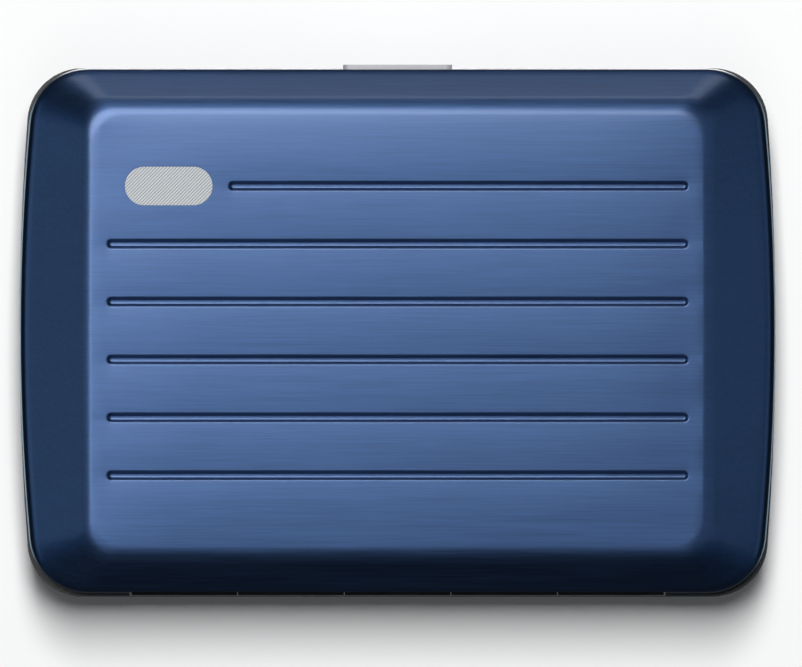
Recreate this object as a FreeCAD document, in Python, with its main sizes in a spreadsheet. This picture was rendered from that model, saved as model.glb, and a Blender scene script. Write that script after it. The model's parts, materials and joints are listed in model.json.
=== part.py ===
"""Clamshell card wallet: two drawn aluminium shells on moulded frames, a pin hinge, a push latch and a
card accordion. Millimetres, +Z up. The case lies on its rear panel, its origin is the centre of that
panel's face, the hinge is along -Y and the latch button on +Y."""
import FreeCAD, Part
import math
import os
import re

import Sketcher
from FreeCAD import Placement, Rotation, Vector

doc = FreeCAD.newDocument("CardWallet")

# ---------------------------------------------------------------- driving dimensions
SIZES = {
    "case_width": 110.0,  # across the widest point of the bowed sides
    "case_height": 76.4,  # hinge edge to latch edge, over the shells
    "case_depth": 20.0,
    "metal": 0.8,  # shell sheet
    "rim_height": 0.8,  # shell rim above the parting plane
    "wall_height": 3.2,  # upright wall of a shell
    "rim_corner": 8.6,
    "side_bow": 330.0,  # radius of the bowed sides
    "corner_loss": 3.6,  # what the corner radius loses up the shoulder
    "sheet_bow": 4000.0,  # sides of the flat sheets, all but straight
    "slope_x": 9.8,  # how far the shoulder slopes in from the side
    "slope_y": 5.3,
    "groove_pitch": 8.4,
    "groove_length": 84.5,
    "groove_width": 1.3,
    "groove_deep": 0.45,
    "short_groove": 67.0,
    "emblem_length": 12.7,
    "emblem_width": 5.6,
    "emblem_deep": 0.12,
    "emblem_x": -33.2,
    "parting_gap": 0.1,  # from the parting plane to each frame
    "flange_reach": 3.0,
    "flange_lip": 0.5,  # how far the flange stands out along the hinge edge
    "flange_corner": 8.0,
    "flange_bow": 420.0,
    "frame_wall": 1.2,
    "frame_height": 2.5,
    "frame_fit": 0.85,  # shell outline to frame wall
    "hinge_y": -36.9,
    "hinge_length": 77.6,
    "knuckle_radius": 1.6,
    "knuckle_gap": 0.15,
    "hinge_relief": 1.85,
    "pin_radius": 0.75,
    "bore_fit": 0.05,
    "press_fit": 0.01,
    "button_width": 15.8,
    "button_tall": 4.8,
    "button_proud": 0.5,
    "button_fit": 0.15,
    "cap_back": 37.0,  # inner face of the button's cap
    "cap_rounding": 0.8,
    "catch_width": 18.0,  # the button's retaining flange
    "catch_y": 36.2,
    "catch_low": 2.5,  # below the parting plane
    "catch_top": 0.3,
    "arm_thick": 1.6,
    "arm_low": 2.4,
    "arm_top": 0.6,
    "bar_y": 30.2,  # inner face of the bar the springs push
    "bar_thick": 1.2,
    "hook_top": 2.0,
    "hook_thick": 0.7,
    "hook_width": 11.0,
    "hook_bite": 0.5,
    "window_y": 30.0,  # the button's window reaches in this far
    "shelf_thick": 0.7,
    "rail_end": 34.6,
    "catch_room": 34.8,
    "strike_width": 9.0,
    "strike_y": 32.4,
    "strike_thick": 1.0,
    "strike_low": 0.3,
    "strike_top": 4.5,
    "lip_thick": 0.8,
    "block_width": 13.0,  # the block the strike is riveted to
    "block_back": 36.3,
    "block_low": 2.7,
    "rivet_level": 3.6,
    "rivet_radius": 0.5,
    "rivet_fit": 0.02,
    "rivet_spread": 5.6,
    "spring_radius": 1.15,
    "spring_wire": 0.15,
    "spring_seat": 27.0,
    "spring_spread": 10.0,
    "spring_drop": 0.7,  # below the parting plane
    "spring_fit": 0.05,
    "liner_width": 88.4,
    "liner_height": 61.0,
    "liner_thick": 0.7,
    "liner_top": 8.7,  # above the parting plane
    "leaf_width": 86.8,
    "leaf_bottom": -31.5,
    "leaf_top": 25.5,
    "leaf_thick": 0.5,
    "leaf_pitch": 2.2,
    "leaf_corner": 4.0,
    "notch_radius": 9.0,
    "notch_sink": 6.0,
    "pleat_depth": 3.4,
    "pleat_end_depth": 2.4,
    "spine_depth": 1.8,
    "film": 0.22,
    "film_fit": 0.06,
}
GROOVES = 6
LEAVES = 8
KNUCKLES = 5
SPRING_TURNS = 5
OPEN_ANGLE = 40.0

sheet = doc.addObject("Spreadsheet::Sheet", "Sizes")
for row, (alias, value) in enumerate(SIZES.items(), start=1):
    sheet.set(f"A{row}", alias)
    sheet.set(f"B{row}", str(value))
    sheet.setAlias(f"B{row}", alias)
doc.recompute()


def full(formula):
    """The formula with every size named as a cell of the sheet."""
    return re.sub(r"[a-z][a-z_]+", lambda m: "Sizes." + m[0] if m[0] in SIZES else m[0], str(formula))


def value(formula):
    return float(sheet.evalExpression(full(formula)))


def bind(thing, name, formula):
    thing.setExpression(name, full(formula))


# ---------------------------------------------------------------- sketches
def new_body(label):
    body = doc.addObject("PartDesign::Body", label)
    body.Label = label
    return body


def new_sketch(body, name, role="XY_Plane", offset="0"):
    """A sketch on one of the body's own planes, moved along that plane's normal."""
    sketch = body.newObject("Sketcher::SketchObject", name)
    plane = next(f for f in body.Origin.OriginFeatures if f.Role == role)
    sketch.AttachmentSupport = [(plane, "")]
    sketch.MapMode = "FlatFace"
    bind(sketch, "AttachmentOffset.Base.z", offset)
    return sketch


def dimension(sketch, kind, where, formula):
    """A dimension of the sketch that follows the sheet."""
    index = sketch.addConstraint(Sketcher.Constraint(kind, *where, value(formula)))
    bind(sketch, f"Constraints[{index}]", formula)


def rectangle(sketch, across, up):
    """A rectangle between two formulas across the sketch and two up it."""
    (x0, x1), (y0, y1) = ([value(f) for f in pair] for pair in (across, up))
    corners = [Vector(x0, y0, 0), Vector(x1, y0, 0), Vector(x1, y1, 0), Vector(x0, y1, 0)]
    first = sketch.GeometryCount
    for i in range(4):
        sketch.addGeometry(Part.LineSegment(corners[i], corners[(i + 1) % 4]))
    for i in range(4):
        sketch.addConstraint(Sketcher.Constraint("Coincident", first + i, 2, first + (i + 1) % 4, 1))
        sketch.addConstraint(Sketcher.Constraint("Vertical" if i % 2 else "Horizontal", first + i))
    dimension(sketch, "DistanceX", (-1, 1, first, 1), across[0])
    dimension(sketch, "DistanceX", (-1, 1, first, 2), across[1])
    dimension(sketch, "DistanceY", (-1, 1, first, 1), up[0])
    dimension(sketch, "DistanceY", (-1, 1, first + 2, 1), up[1])


def circle(sketch, x, y, radius):
    index = sketch.addGeometry(Part.Circle(Vector(value(x), value(y), 0), Vector(0, 0, 1), value(radius)))
    dimension(sketch, "DistanceX", (-1, 1, index, 3), x)
    dimension(sketch, "DistanceY", (-1, 1, index, 3), y)
    dimension(sketch, "Radius", (index,), radius)


def slot(sketch, start, end, y, width):
    """A slot with round ends, from end to end along the sketch's X."""
    x0, x1, cy, r = value(start), value(end), value(y), value(width) / 2
    quarter = math.pi / 2
    right = Part.ArcOfCircle(Part.Circle(Vector(x1 - r, cy, 0), Vector(0, 0, 1), r), -quarter, quarter)
    left = Part.ArcOfCircle(Part.Circle(Vector(x0 + r, cy, 0), Vector(0, 0, 1), r), quarter, 3 * quarter)
    first = sketch.GeometryCount
    sketch.addGeometry(Part.LineSegment(Vector(x0 + r, cy - r, 0), Vector(x1 - r, cy - r, 0)))
    sketch.addGeometry(right)
    sketch.addGeometry(Part.LineSegment(Vector(x1 - r, cy + r, 0), Vector(x0 + r, cy + r, 0)))
    sketch.addGeometry(left)
    for a, b in ((0, 1), (3, 0)):
        sketch.addConstraint(Sketcher.Constraint("Tangent", first + a, 2, first + b, 1))
    for a, b in ((1, 2), (2, 3)):
        sketch.addConstraint(Sketcher.Constraint("Tangent", first + a, 2, first + b, 1))
    sketch.addConstraint(Sketcher.Constraint("Horizontal", first))
    dimension(sketch, "Radius", (first + 1,), f"({width}) / 2")
    dimension(sketch, "DistanceX", (-1, 1, first + 3, 3), f"({start}) + ({width}) / 2")
    dimension(sketch, "DistanceX", (-1, 1, first + 1, 3), f"({end}) - ({width}) / 2")
    dimension(sketch, "DistanceY", (-1, 1, first + 1, 3), y)


def outline(sketch, half_width, top, bottom, corner, bow):
    """The case's outline: flat top and bottom, sides bowed at one large radius, four round corners."""
    a, t, b, r, big = (value(f) for f in (half_width, top, bottom, corner, bow))
    side = a - big  # centre of the right-hand side's circle, on the X axis
    z = Vector(0, 0, 1)

    def turn(y):
        """The corner's centre, and the direction from the side's centre to it."""
        x = side + math.sqrt((big - r) ** 2 - y**2)
        return x, math.atan2(y, x - side)

    (xt, up), (xb, down) = turn(t - r), turn(b + r)
    half = math.pi / 2

    def arc(x, y, radius, start, end):
        return Part.ArcOfCircle(Part.Circle(Vector(x, y, 0), z, radius), start, end)

    pieces = [
        Part.LineSegment(Vector(-xb, b, 0), Vector(xb, b, 0)),
        arc(xb, b + r, r, -half, down),
        arc(side, 0, big, down, up),
        arc(xt, t - r, r, up, half),
        Part.LineSegment(Vector(xt, t, 0), Vector(-xt, t, 0)),
        arc(-xt, t - r, r, half, math.pi - up),
        arc(-side, 0, big, math.pi - up, math.pi - down),
        arc(-xb, b + r, r, math.pi - down, 3 * half),
    ]
    first = sketch.GeometryCount
    for piece in pieces:
        sketch.addGeometry(piece)
    for i in range(8):
        sketch.addConstraint(Sketcher.Constraint("Tangent", first + i, 2, first + (i + 1) % 8, 1))
    for i in (0, 4):
        sketch.addConstraint(Sketcher.Constraint("Horizontal", first + i))
    for i in (2, 6):
        sketch.addConstraint(Sketcher.Constraint("PointOnObject", first + i, 3, -1))
        dimension(sketch, "Radius", (first + i,), bow)
    for i in (1, 3, 5, 7):
        dimension(sketch, "Radius", (first + i,), corner)
    dimension(sketch, "DistanceX", (-1, 1, first + 2, 3), f"({half_width}) - ({bow})")
    dimension(sketch, "DistanceX", (-1, 1, first + 6, 3), f"({bow}) - ({half_width})")
    dimension(sketch, "DistanceY", (-1, 1, first, 1), bottom)
    dimension(sketch, "DistanceY", (-1, 1, first + 4, 1), top)


def shell_outline(sketch, inset, climb=0.0):
    """The shell's outline, drawn in by inset. Climb is 0 at the upright wall and 1 at the panel's crease."""
    outline(
        sketch,
        f"case_width / 2 - {climb} * slope_x - ({inset})",
        f"case_height / 2 - {climb} * slope_y - ({inset})",
        f"({inset}) + {climb} * slope_y - case_height / 2",
        f"rim_corner - {climb} * corner_loss - ({inset})",
        f"1 / ({1.1 - climb:.2f} / 1.1 / side_bow + 0.00005) - ({inset})"
        if climb
        else f"side_bow - ({inset})",
    )


# ---------------------------------------------------------------- features
def extrude(body, kind, sketch, length, both_ways=False, reverse=False):
    feature = body.newObject("PartDesign::" + kind, sketch.Name + kind)
    feature.Profile = sketch
    bind(feature, "Length", length)
    feature.SideType = "Symmetric" if both_ways else "One side"
    feature.Reversed = reverse
    sketch.Visibility = False
    return feature


def add_block(body, name, across, along, up):
    sketch = new_sketch(body, name, offset=up[0])
    rectangle(sketch, across, along)
    return extrude(body, "Pad", sketch, f"({up[1]}) - ({up[0]})")


def cut_block(body, name, across, along, up):
    sketch = new_sketch(body, name, offset=up[1])
    rectangle(sketch, across, along)
    return extrude(body, "Pocket", sketch, f"({up[1]}) - ({up[0]})")


def add_rod(body, name, start, end, y, z, radius):
    """A round bar along X."""
    sketch = new_sketch(body, name, "YZ_Plane", start)
    circle(sketch, y, z, radius)
    return extrude(body, "Pad", sketch, f"({end}) - ({start})")


def cut_rod(body, name, length, y, z, radius):
    """A round hole along X, centred on the middle of the case."""
    sketch = new_sketch(body, name, "YZ_Plane")
    circle(sketch, y, z, radius)
    return extrude(body, "Pocket", sketch, length, both_ways=True)


def loft(body, kind, name, sections):
    feature = body.newObject("PartDesign::" + kind, name)
    feature.Profile = sections[0]
    feature.Sections = sections[1:]
    feature.Ruled = True
    return feature


LID = Placement(Vector(0, 0, value("case_depth / 2")), Rotation())
BASE = Placement(Vector(0, 0, value("case_depth / 2")), Rotation(Vector(0, 1, 0), 180))


# ---------------------------------------------------------------- shells
def groove_y(index):
    return f"groove_pitch * {index - (GROOVES - 1) / 2}"


def groove_slots(sketch, width, short_first):
    """The panel's row of grooves; the last one can leave room for the emblem."""
    extra = f"({width}) - groove_width"
    for i in range(GROOVES):
        long = f"groove_length / 2 + ({extra}) / 2"
        start = f"-({long})"
        if short_first and i == GROOVES - 1:
            start = f"groove_length / 2 - short_groove - ({extra}) / 2"
        slot(sketch, start, long, groove_y(i), width)


def make_shell(label, placement, with_emblem):
    """A drawn aluminium shell: upright wall, sloping shoulder and a flat panel with pressed grooves."""
    body = new_body(label)
    rim, shoulder, face = "rim_height", "rim_height + wall_height", "case_depth / 2"

    # Both lofts climb the same way: up the wall, round the shoulder, up the slope and over the crease.
    rise = "(case_depth / 2 - rim_height - wall_height)"
    outside = (
        (0.0, rim),
        (0.0, f"{shoulder} - 1.2"),
        (0.04, f"{shoulder} - 0.05"),
        (0.14, f"{shoulder} + 0.14 * {rise}"),
        (0.88, f"{shoulder} + 0.88 * {rise}"),
        (0.97, f"{face} - 0.28"),
        (1.08, face),
    )
    rings = []
    for i, (climb, height) in enumerate(outside):
        rings.append(new_sketch(body, f"{label}_ring{i}", offset=height))
        shell_outline(rings[-1], "0", climb)
    loft(body, "AdditiveLoft", f"{label}_outside", rings)

    inside = (
        (0.0, rim, "metal"),
        (0.0, f"{shoulder} - 0.65", "metal"),
        (0.08, f"{shoulder} - 0.1", "metal"),
        (1.0, f"{face} - metal", "0.4 * metal"),
    )
    cores = []
    for i, (climb, height, inset) in enumerate(inside):
        cores.append(new_sketch(body, f"{label}_core{i}", offset=height))
        shell_outline(cores[-1], inset, climb)
    loft(body, "SubtractiveLoft", f"{label}_hollow", cores)

    ridges = new_sketch(body, f"{label}_ridges", offset=f"{face} - metal")
    groove_slots(ridges, "groove_width + metal", with_emblem)
    extrude(body, "Pad", ridges, "groove_deep", reverse=True)
    grooves = new_sketch(body, f"{label}_grooves", offset=face)
    groove_slots(grooves, "groove_width", with_emblem)
    extrude(body, "Pocket", grooves, "groove_deep")
    if with_emblem:
        emblem = new_sketch(body, f"{label}_emblem", offset=face)
        slot(
            emblem,
            "emblem_x - emblem_length / 2",
            "emblem_x + emblem_length / 2",
            groove_y(GROOVES - 1),
            "emblem_width",
        )
        extrude(body, "Pocket", emblem, "emblem_deep")

    cut_block(
        body,
        f"{label}_window",
        ("-button_width / 2 - button_fit", "button_width / 2 + button_fit"),
        ("case_height / 2 - 4", "case_height / 2 + 2"),
        ("0", "button_tall / 2 + button_fit"),
    )
    cut_rod(body, f"{label}_scallop", "hinge_length + 0.4", "hinge_y", "0", "hinge_relief")
    body.Placement = placement
    return body


# ---------------------------------------------------------------- frames
def make_frame(label, placement):
    """A moulded frame: flange between the rims and a wall inside the shell, relieved for the hinge."""
    body = new_body(label)
    flange = new_sketch(body, f"{label}_flange", offset="parting_gap")
    outline(
        flange,
        "case_width / 2",
        "case_height / 2",
        "-case_height / 2 - flange_lip",
        "flange_corner",
        "flange_bow",
    )
    shell_outline(flange, "flange_reach")
    extrude(body, "Pad", flange, "rim_height - parting_gap - 0.02")
    wall = new_sketch(body, f"{label}_wall", offset="rim_height - 0.1")
    shell_outline(wall, "frame_fit")
    shell_outline(wall, "frame_fit + frame_wall")
    extrude(body, "Pad", wall, "frame_height + 0.1")

    cut_rod(body, f"{label}_relief", "hinge_length + 0.4", "hinge_y", "0", "hinge_relief")
    # The halves turn past each other outside the hinge line, so each frame falls away from it.
    wedge = new_sketch(body, f"{label}_wedge", "YZ_Plane")
    y = value("hinge_y")
    reach = 4.0
    rise = reach * math.tan(math.radians(OPEN_ANGLE / 2 + 0.5))
    points = [Vector(y, -0.5, 0), Vector(y, 0, 0), Vector(y - reach, rise, 0), Vector(y - reach, -0.5, 0)]
    for i in range(4):
        wedge.addGeometry(Part.LineSegment(points[i], points[(i + 1) % 4]))
    for i in range(4):
        wedge.addConstraint(Sketcher.Constraint("Coincident", i, 2, (i + 1) % 4, 1))
    for i in (1, 2):
        wedge.addConstraint(Sketcher.Constraint("Block", i))
    extrude(body, "Pocket", wedge, "case_width + 4", both_ways=True)
    body.Placement = placement
    return body


def add_knuckles(body, first):
    """Every second knuckle of the hinge, each on a web that rises to the frame's wall."""
    share = f"hinge_length / {KNUCKLES}"
    for k in range(first, KNUCKLES, 2):
        start = f"{share} * {k} - hinge_length / 2 + knuckle_gap / 2"
        end = f"{share} * {k + 1} - hinge_length / 2 - knuckle_gap / 2"
        web = (start, end), ("hinge_y - 0.4", "hinge_y + 1.6"), ("0.2", "rim_height + 1.6")
        add_block(body, f"{body.Name}_web{k}", *web)
        add_rod(body, f"{body.Name}_knuckle{k}", start, end, "hinge_y", "0", "knuckle_radius")


def make_lid_frame():
    body = make_frame("front_frame", LID)
    add_knuckles(body, 1)
    cut_rod(body, "front_frame_bore", "hinge_length", "hinge_y", "0", "pin_radius + bore_fit")
    cut_block(
        body,
        "front_frame_window",
        ("-button_width / 2 - button_fit", "button_width / 2 + button_fit"),
        ("window_y", "case_height / 2 + 1.5"),
        ("0", "button_tall / 2 + button_fit"),
    )
    across = ("-block_width / 2", "block_width / 2")
    behind = ("strike_y + strike_thick + 0.05", "block_back")
    add_block(body, "strike_block", across, behind, ("block_low", "strike_top"))
    holes = new_sketch(body, "strike_block_holes", "XZ_Plane", "-strike_y - 0.6")
    for side in (-1, 1):
        circle(holes, f"{side} * rivet_spread / 2", "rivet_level", "rivet_radius + rivet_fit")
    extrude(body, "Pocket", holes, "2.6")
    return body


def make_base_frame():
    """The rear frame also carries the latch: a shelf, two side rails and the wall the springs bear on."""
    body = make_frame("rear_frame", BASE)
    add_knuckles(body, 0)
    cut_rod(body, "rear_frame_bore", "hinge_length", "hinge_y", "0", "pin_radius + press_fit")
    under_shelf = "rim_height + frame_height - shelf_thick"
    rail_top = f"{under_shelf} + 0.1"
    half = "catch_width / 2 + 0.2"
    window_half = "button_width / 2 + button_fit"
    room = (f"-({half})", half)
    wall = ("spring_seat - 0.8", "spring_seat")
    shelf = ("spring_seat - 0.8", "block_back + 0.3"), (under_shelf, "rim_height + frame_height")
    add_block(body, "latch_shelf", room, *shelf)
    cut_block(body, "catch_room", room, ("catch_room", "cap_back + 0.05"), ("0", under_shelf))
    across = (f"-({window_half})", window_half)
    cut_block(body, "button_window", across, ("window_y", "case_height / 2 + 1.5"), ("0", under_shelf))
    rail = ("window_y", "rail_end"), ("0.3", rail_top)
    add_block(body, "latch_rail_left", (f"-({half})", f"-({window_half})"), *rail)
    add_block(body, "latch_rail_right", (window_half, half), *rail)
    add_block(body, "spring_wall", room, wall, ("-0.6", rail_top))
    return body


# ---------------------------------------------------------------- hinge pin and latch
def make_pin():
    body = new_body("hinge_pin")
    half = "hinge_length / 2 - 0.1"
    add_rod(body, "pin", f"-({half})", half, "hinge_y", "case_depth / 2", "pin_radius")
    return body


def make_button():
    """One moulding: cap, retaining flange, two arms round the strike, and the bar with the hook."""
    body = new_body("latch_button")
    z = "case_depth / 2"
    half = "button_width / 2"
    cap_z = f"{z} - button_tall / 2", f"{z} + button_tall / 2"
    cap = new_sketch(body, "cap", "XZ_Plane", "-cap_back")
    rectangle(cap, (f"-{half}", half), cap_z)
    block = extrude(body, "Pad", cap, "case_height / 2 + button_proud - cap_back", reverse=True)
    doc.recompute()
    along_y = [f"Edge{i}" for i, edge in enumerate(block.Shape.Edges, start=1) if edge.BoundBox.YLength > 0.5]
    rounded = body.newObject("PartDesign::Fillet", "cap_corners")
    rounded.Base = (block, along_y)
    bind(rounded, "Radius", "cap_rounding")
    doc.recompute()
    catch = ("-catch_width / 2", "catch_width / 2")
    add_block(body, "catch", catch, ("catch_y", "cap_back + 0.02"), (f"{z} - catch_low", f"{z} - catch_top"))
    arm = ("bar_y", "catch_y + 0.2"), (f"{z} - arm_low", f"{z} + arm_top")
    add_block(body, "arm_left", (f"-{half}", f"-{half} + arm_thick"), *arm)
    add_block(body, "arm_right", (f"{half} - arm_thick", half), *arm)
    bar = ("bar_y", "bar_y + bar_thick")
    add_block(body, "hook_bar", (f"-{half}", half), bar, (f"{z} - arm_low", f"{z} + hook_top"))
    along = ("bar_y + 1", "strike_y - lip_thick + 0.1 + hook_bite")
    across = ("-hook_width / 2", "hook_width / 2")
    add_block(body, "hook", across, along, (f"{z} + hook_top - hook_thick", f"{z} + hook_top"))
    return body


def make_strike():
    """A bent steel strip riveted to the front frame; its lip sits under the button's hook."""
    body = new_body("strike_plate")
    half = "strike_width / 2"
    base = "case_depth / 2"
    across = (f"-{half}", half)
    low = f"{base} + strike_low"
    add_block(body, "tongue", across, ("strike_y", "strike_y + strike_thick"), (low, f"{base} + strike_top"))
    lip = ("strike_y - lip_thick + 0.1", "strike_y + 0.1")
    add_block(body, "lip", across, lip, (low, f"{low} + lip_thick"))
    holes = new_sketch(body, "strike_holes", "XZ_Plane", "-strike_y + 1")
    for side in (-1, 1):
        circle(holes, f"{side} * rivet_spread / 2", f"{base} + rivet_level", "rivet_radius + rivet_fit")
    extrude(body, "Pocket", holes, "3")
    return body


def make_rivets():
    """Two round-headed rivets along Y: a shank and a head each, joined as one group of two solids."""
    rivets = []
    for side in (-1, 1):
        parts = []
        for name, radius, start, length in (
            ("shank", "rivet_radius", "strike_y - 0.1", "3"),
            ("head", "1.5 * rivet_radius", "strike_y - 0.42", "0.4"),
        ):
            rod = doc.addObject("Part::Cylinder", f"rivet_{name}")
            bind(rod, "Radius", radius)
            bind(rod, "Height", length)
            bind(rod, "Placement.Base.x", f"{side} * rivet_spread / 2")
            bind(rod, "Placement.Base.y", start)
            bind(rod, "Placement.Base.z", "case_depth / 2 + rivet_level")
            rod.Placement.Rotation = Rotation(Vector(1, 0, 0), -90)
            parts.append(rod)
        rivet = doc.addObject("Part::Fuse", "rivet")
        rivet.Base, rivet.Tool = parts
        rivets.append(rivet)
    group = doc.addObject("Part::Compound", "strike_rivets")
    group.Links = rivets
    group.Label = "strike_rivets"
    return group


def make_spring(label, side):
    """A small compression spring along Y, between the frame's spring wall and the button's bar."""
    path = doc.addObject("Part::Helix", label + "_path")
    length = "bar_y - spring_seat - 2 * (spring_wire + spring_fit)"
    bind(path, "Radius", "spring_radius")
    bind(path, "Height", length)
    bind(path, "Pitch", f"({length}) / {SPRING_TURNS}")
    wire = doc.addObject("Part::Circle", label + "_wire")
    bind(wire, "Radius", "spring_wire")
    bind(wire, "Placement.Base.x", "spring_radius")
    wire.Placement.Rotation = Rotation(Vector(1, 0, 0), 90)
    coil = doc.addObject("Part::Sweep", label)
    coil.Sections = [wire]
    coil.Spine = (path, [])
    coil.Solid = True
    coil.Frenet = True
    coil.Label = label
    bind(coil, "Placement.Base.x", f"{side} * spring_spread / 2")
    bind(coil, "Placement.Base.y", "spring_seat + spring_wire + spring_fit")
    bind(coil, "Placement.Base.z", "case_depth / 2 - spring_drop")
    coil.Placement.Rotation = Rotation(Vector(1, 0, 0), -90)
    return coil


# ---------------------------------------------------------------- liners and accordion
def make_liner(label, placement):
    """A thin plastic sheet that lies on the pressed ridges and keeps the cards off the metal."""
    body = new_body(label)
    sketch = new_sketch(body, f"{label}_sheet", offset="liner_top - liner_thick")
    half = "liner_width / 2"
    outline(sketch, half, "liner_height / 2", "-liner_height / 2", "leaf_corner", "sheet_bow")
    extrude(body, "Pad", sketch, "liner_thick")
    body.Placement = placement
    return body


def leaf_level(index):
    return f"case_depth / 2 + leaf_pitch * {index - (LEAVES - 1) / 2}"


def make_leaf(label, index):
    """One leaf of the accordion: a plastic sheet with a thumb notch in its mouth edge."""
    body = new_body(label)
    sketch = new_sketch(body, f"{label}_sheet", offset=f"{leaf_level(index)} - leaf_thick / 2")
    outline(sketch, "leaf_width / 2", "leaf_top", "leaf_bottom", "leaf_corner", "sheet_bow")
    extrude(body, "Pad", sketch, "leaf_thick")
    notch = new_sketch(body, f"{label}_notch", offset=f"{leaf_level(index)} + leaf_thick")
    circle(notch, "0", "leaf_top + notch_radius - notch_sink", "notch_radius")
    extrude(body, "Pocket", notch, "2 * leaf_thick")
    return body


def pleats(depths, thick):
    """The folded strip's closed section, as (how far out, height) pairs: a fold between each two leaves."""
    pitch = value("leaf_pitch")
    bottom = value(leaf_level(0))
    slack = value("film_fit")
    line = []
    for k, depth in enumerate(depths):
        line += [(slack, bottom + k * pitch), (slack + depth, bottom + (k + 0.5) * pitch)]
    line.append((slack, bottom + len(depths) * pitch))
    return line + [(out + thick, z) for out, z in reversed(line)]


def folded_strip(label, section, to_point, run):
    """A strip of constant section, run along one direction."""
    points = [to_point(out, z) for out, z in section]
    face = Part.Face(Part.makePolygon(points + points[:1]))
    strip = doc.addObject("Part::Feature", label)
    strip.Shape = face.extrude(run)
    strip.Label = label
    return strip


def make_gussets():
    """Film pleats that close each pocket at its two sides and along its foot."""
    folds = LEAVES - 1
    side_depths = [value("pleat_end_depth" if k in (0, folds - 1) else "pleat_depth") for k in range(folds)]
    film = value("film")
    side = pleats(side_depths, film)
    foot = pleats([value("spine_depth")] * folds, film)
    edge, low = value("leaf_width / 2"), value("leaf_bottom")
    height = value("leaf_top - leaf_bottom - 2 * leaf_corner")
    start = low + value("leaf_corner")
    made = []
    for label, sign in (("gusset_left", -1), ("gusset_right", 1)):
        place = lambda out, z, sign=sign: Vector(sign * (edge + out), start, z)
        made.append(folded_strip(label, side, place, Vector(0, height, 0)))
    width = value("leaf_width - 2 * leaf_corner")
    place = lambda out, z: Vector(-width / 2, low - out, z)
    made.append(folded_strip("pocket_spine", foot, place, Vector(width, 0, 0)))
    return made


pieces = [
    make_shell("front_shell", LID, True),
    make_shell("rear_shell", BASE, False),
    make_lid_frame(),
    make_base_frame(),
    make_pin(),
    make_button(),
    make_strike(),
    make_rivets(),
    make_spring("latch_spring_left", -1),
    make_spring("latch_spring_right", 1),
    make_liner("front_liner", LID),
    make_liner("rear_liner", BASE),
    make_leaf("pocket_wall_rear", 0),
    *[make_leaf(f"divider_{k}", k) for k in range(1, LEAVES - 1)],
    make_leaf("pocket_wall_front", LEAVES - 1),
    *make_gussets(),
]

# ---------------------------------------------------------------- checks and export
doc.recompute()
for thing in doc.Objects:
    faults = [word for word in thing.State if word in ("Invalid", "Error")]
    if faults:
        raise RuntimeError(f"{thing.Label} is {faults}")

os.makedirs("parts", exist_ok=True)
for piece in pieces:
    if piece.Shape.isNull() or not piece.Shape.isValid():
        raise RuntimeError(f"{piece.Label} has no valid shape")
    piece.Shape.exportStep(f"parts/{piece.Label}.step")
    box = piece.Shape.BoundBox
    print(
        f"{piece.Label}: {len(piece.Shape.Solids)} solid(s), {piece.Shape.Volume:.1f} mm3,"
        f" x {box.XMin:.2f}..{box.XMax:.2f}, y {box.YMin:.2f}..{box.YMax:.2f}, z {box.ZMin:.2f}..{box.ZMax:.2f}"
    )
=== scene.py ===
import json
import math

import bmesh
import bpy
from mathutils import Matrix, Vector

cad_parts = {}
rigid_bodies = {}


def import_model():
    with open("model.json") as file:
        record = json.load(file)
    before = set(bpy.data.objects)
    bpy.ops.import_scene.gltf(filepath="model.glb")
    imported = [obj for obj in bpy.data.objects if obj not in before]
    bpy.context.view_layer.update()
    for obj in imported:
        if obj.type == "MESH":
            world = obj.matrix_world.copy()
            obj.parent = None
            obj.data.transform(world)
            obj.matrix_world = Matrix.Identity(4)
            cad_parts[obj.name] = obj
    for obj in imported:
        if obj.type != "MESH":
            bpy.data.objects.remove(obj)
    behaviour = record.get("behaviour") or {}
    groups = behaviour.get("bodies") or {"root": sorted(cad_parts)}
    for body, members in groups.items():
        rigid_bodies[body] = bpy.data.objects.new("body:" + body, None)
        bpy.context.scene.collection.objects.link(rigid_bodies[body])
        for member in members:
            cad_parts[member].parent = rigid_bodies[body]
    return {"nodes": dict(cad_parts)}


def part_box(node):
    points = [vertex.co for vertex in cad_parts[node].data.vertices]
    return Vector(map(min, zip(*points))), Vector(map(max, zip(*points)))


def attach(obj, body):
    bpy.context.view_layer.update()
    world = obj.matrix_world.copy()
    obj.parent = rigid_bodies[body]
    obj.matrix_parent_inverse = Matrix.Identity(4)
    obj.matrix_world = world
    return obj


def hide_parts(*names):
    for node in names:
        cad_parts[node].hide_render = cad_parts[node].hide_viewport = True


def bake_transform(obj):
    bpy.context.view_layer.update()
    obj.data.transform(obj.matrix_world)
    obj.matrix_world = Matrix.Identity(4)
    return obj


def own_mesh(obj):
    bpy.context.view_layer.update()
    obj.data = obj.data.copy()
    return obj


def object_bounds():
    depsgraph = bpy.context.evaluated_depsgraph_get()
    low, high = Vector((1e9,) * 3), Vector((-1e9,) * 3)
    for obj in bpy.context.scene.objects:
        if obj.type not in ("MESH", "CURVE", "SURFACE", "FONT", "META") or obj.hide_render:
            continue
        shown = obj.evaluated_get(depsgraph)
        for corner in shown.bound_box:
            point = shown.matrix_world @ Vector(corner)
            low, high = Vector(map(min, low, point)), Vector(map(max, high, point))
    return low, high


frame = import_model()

cad_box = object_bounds()
mm = 0.001

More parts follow.
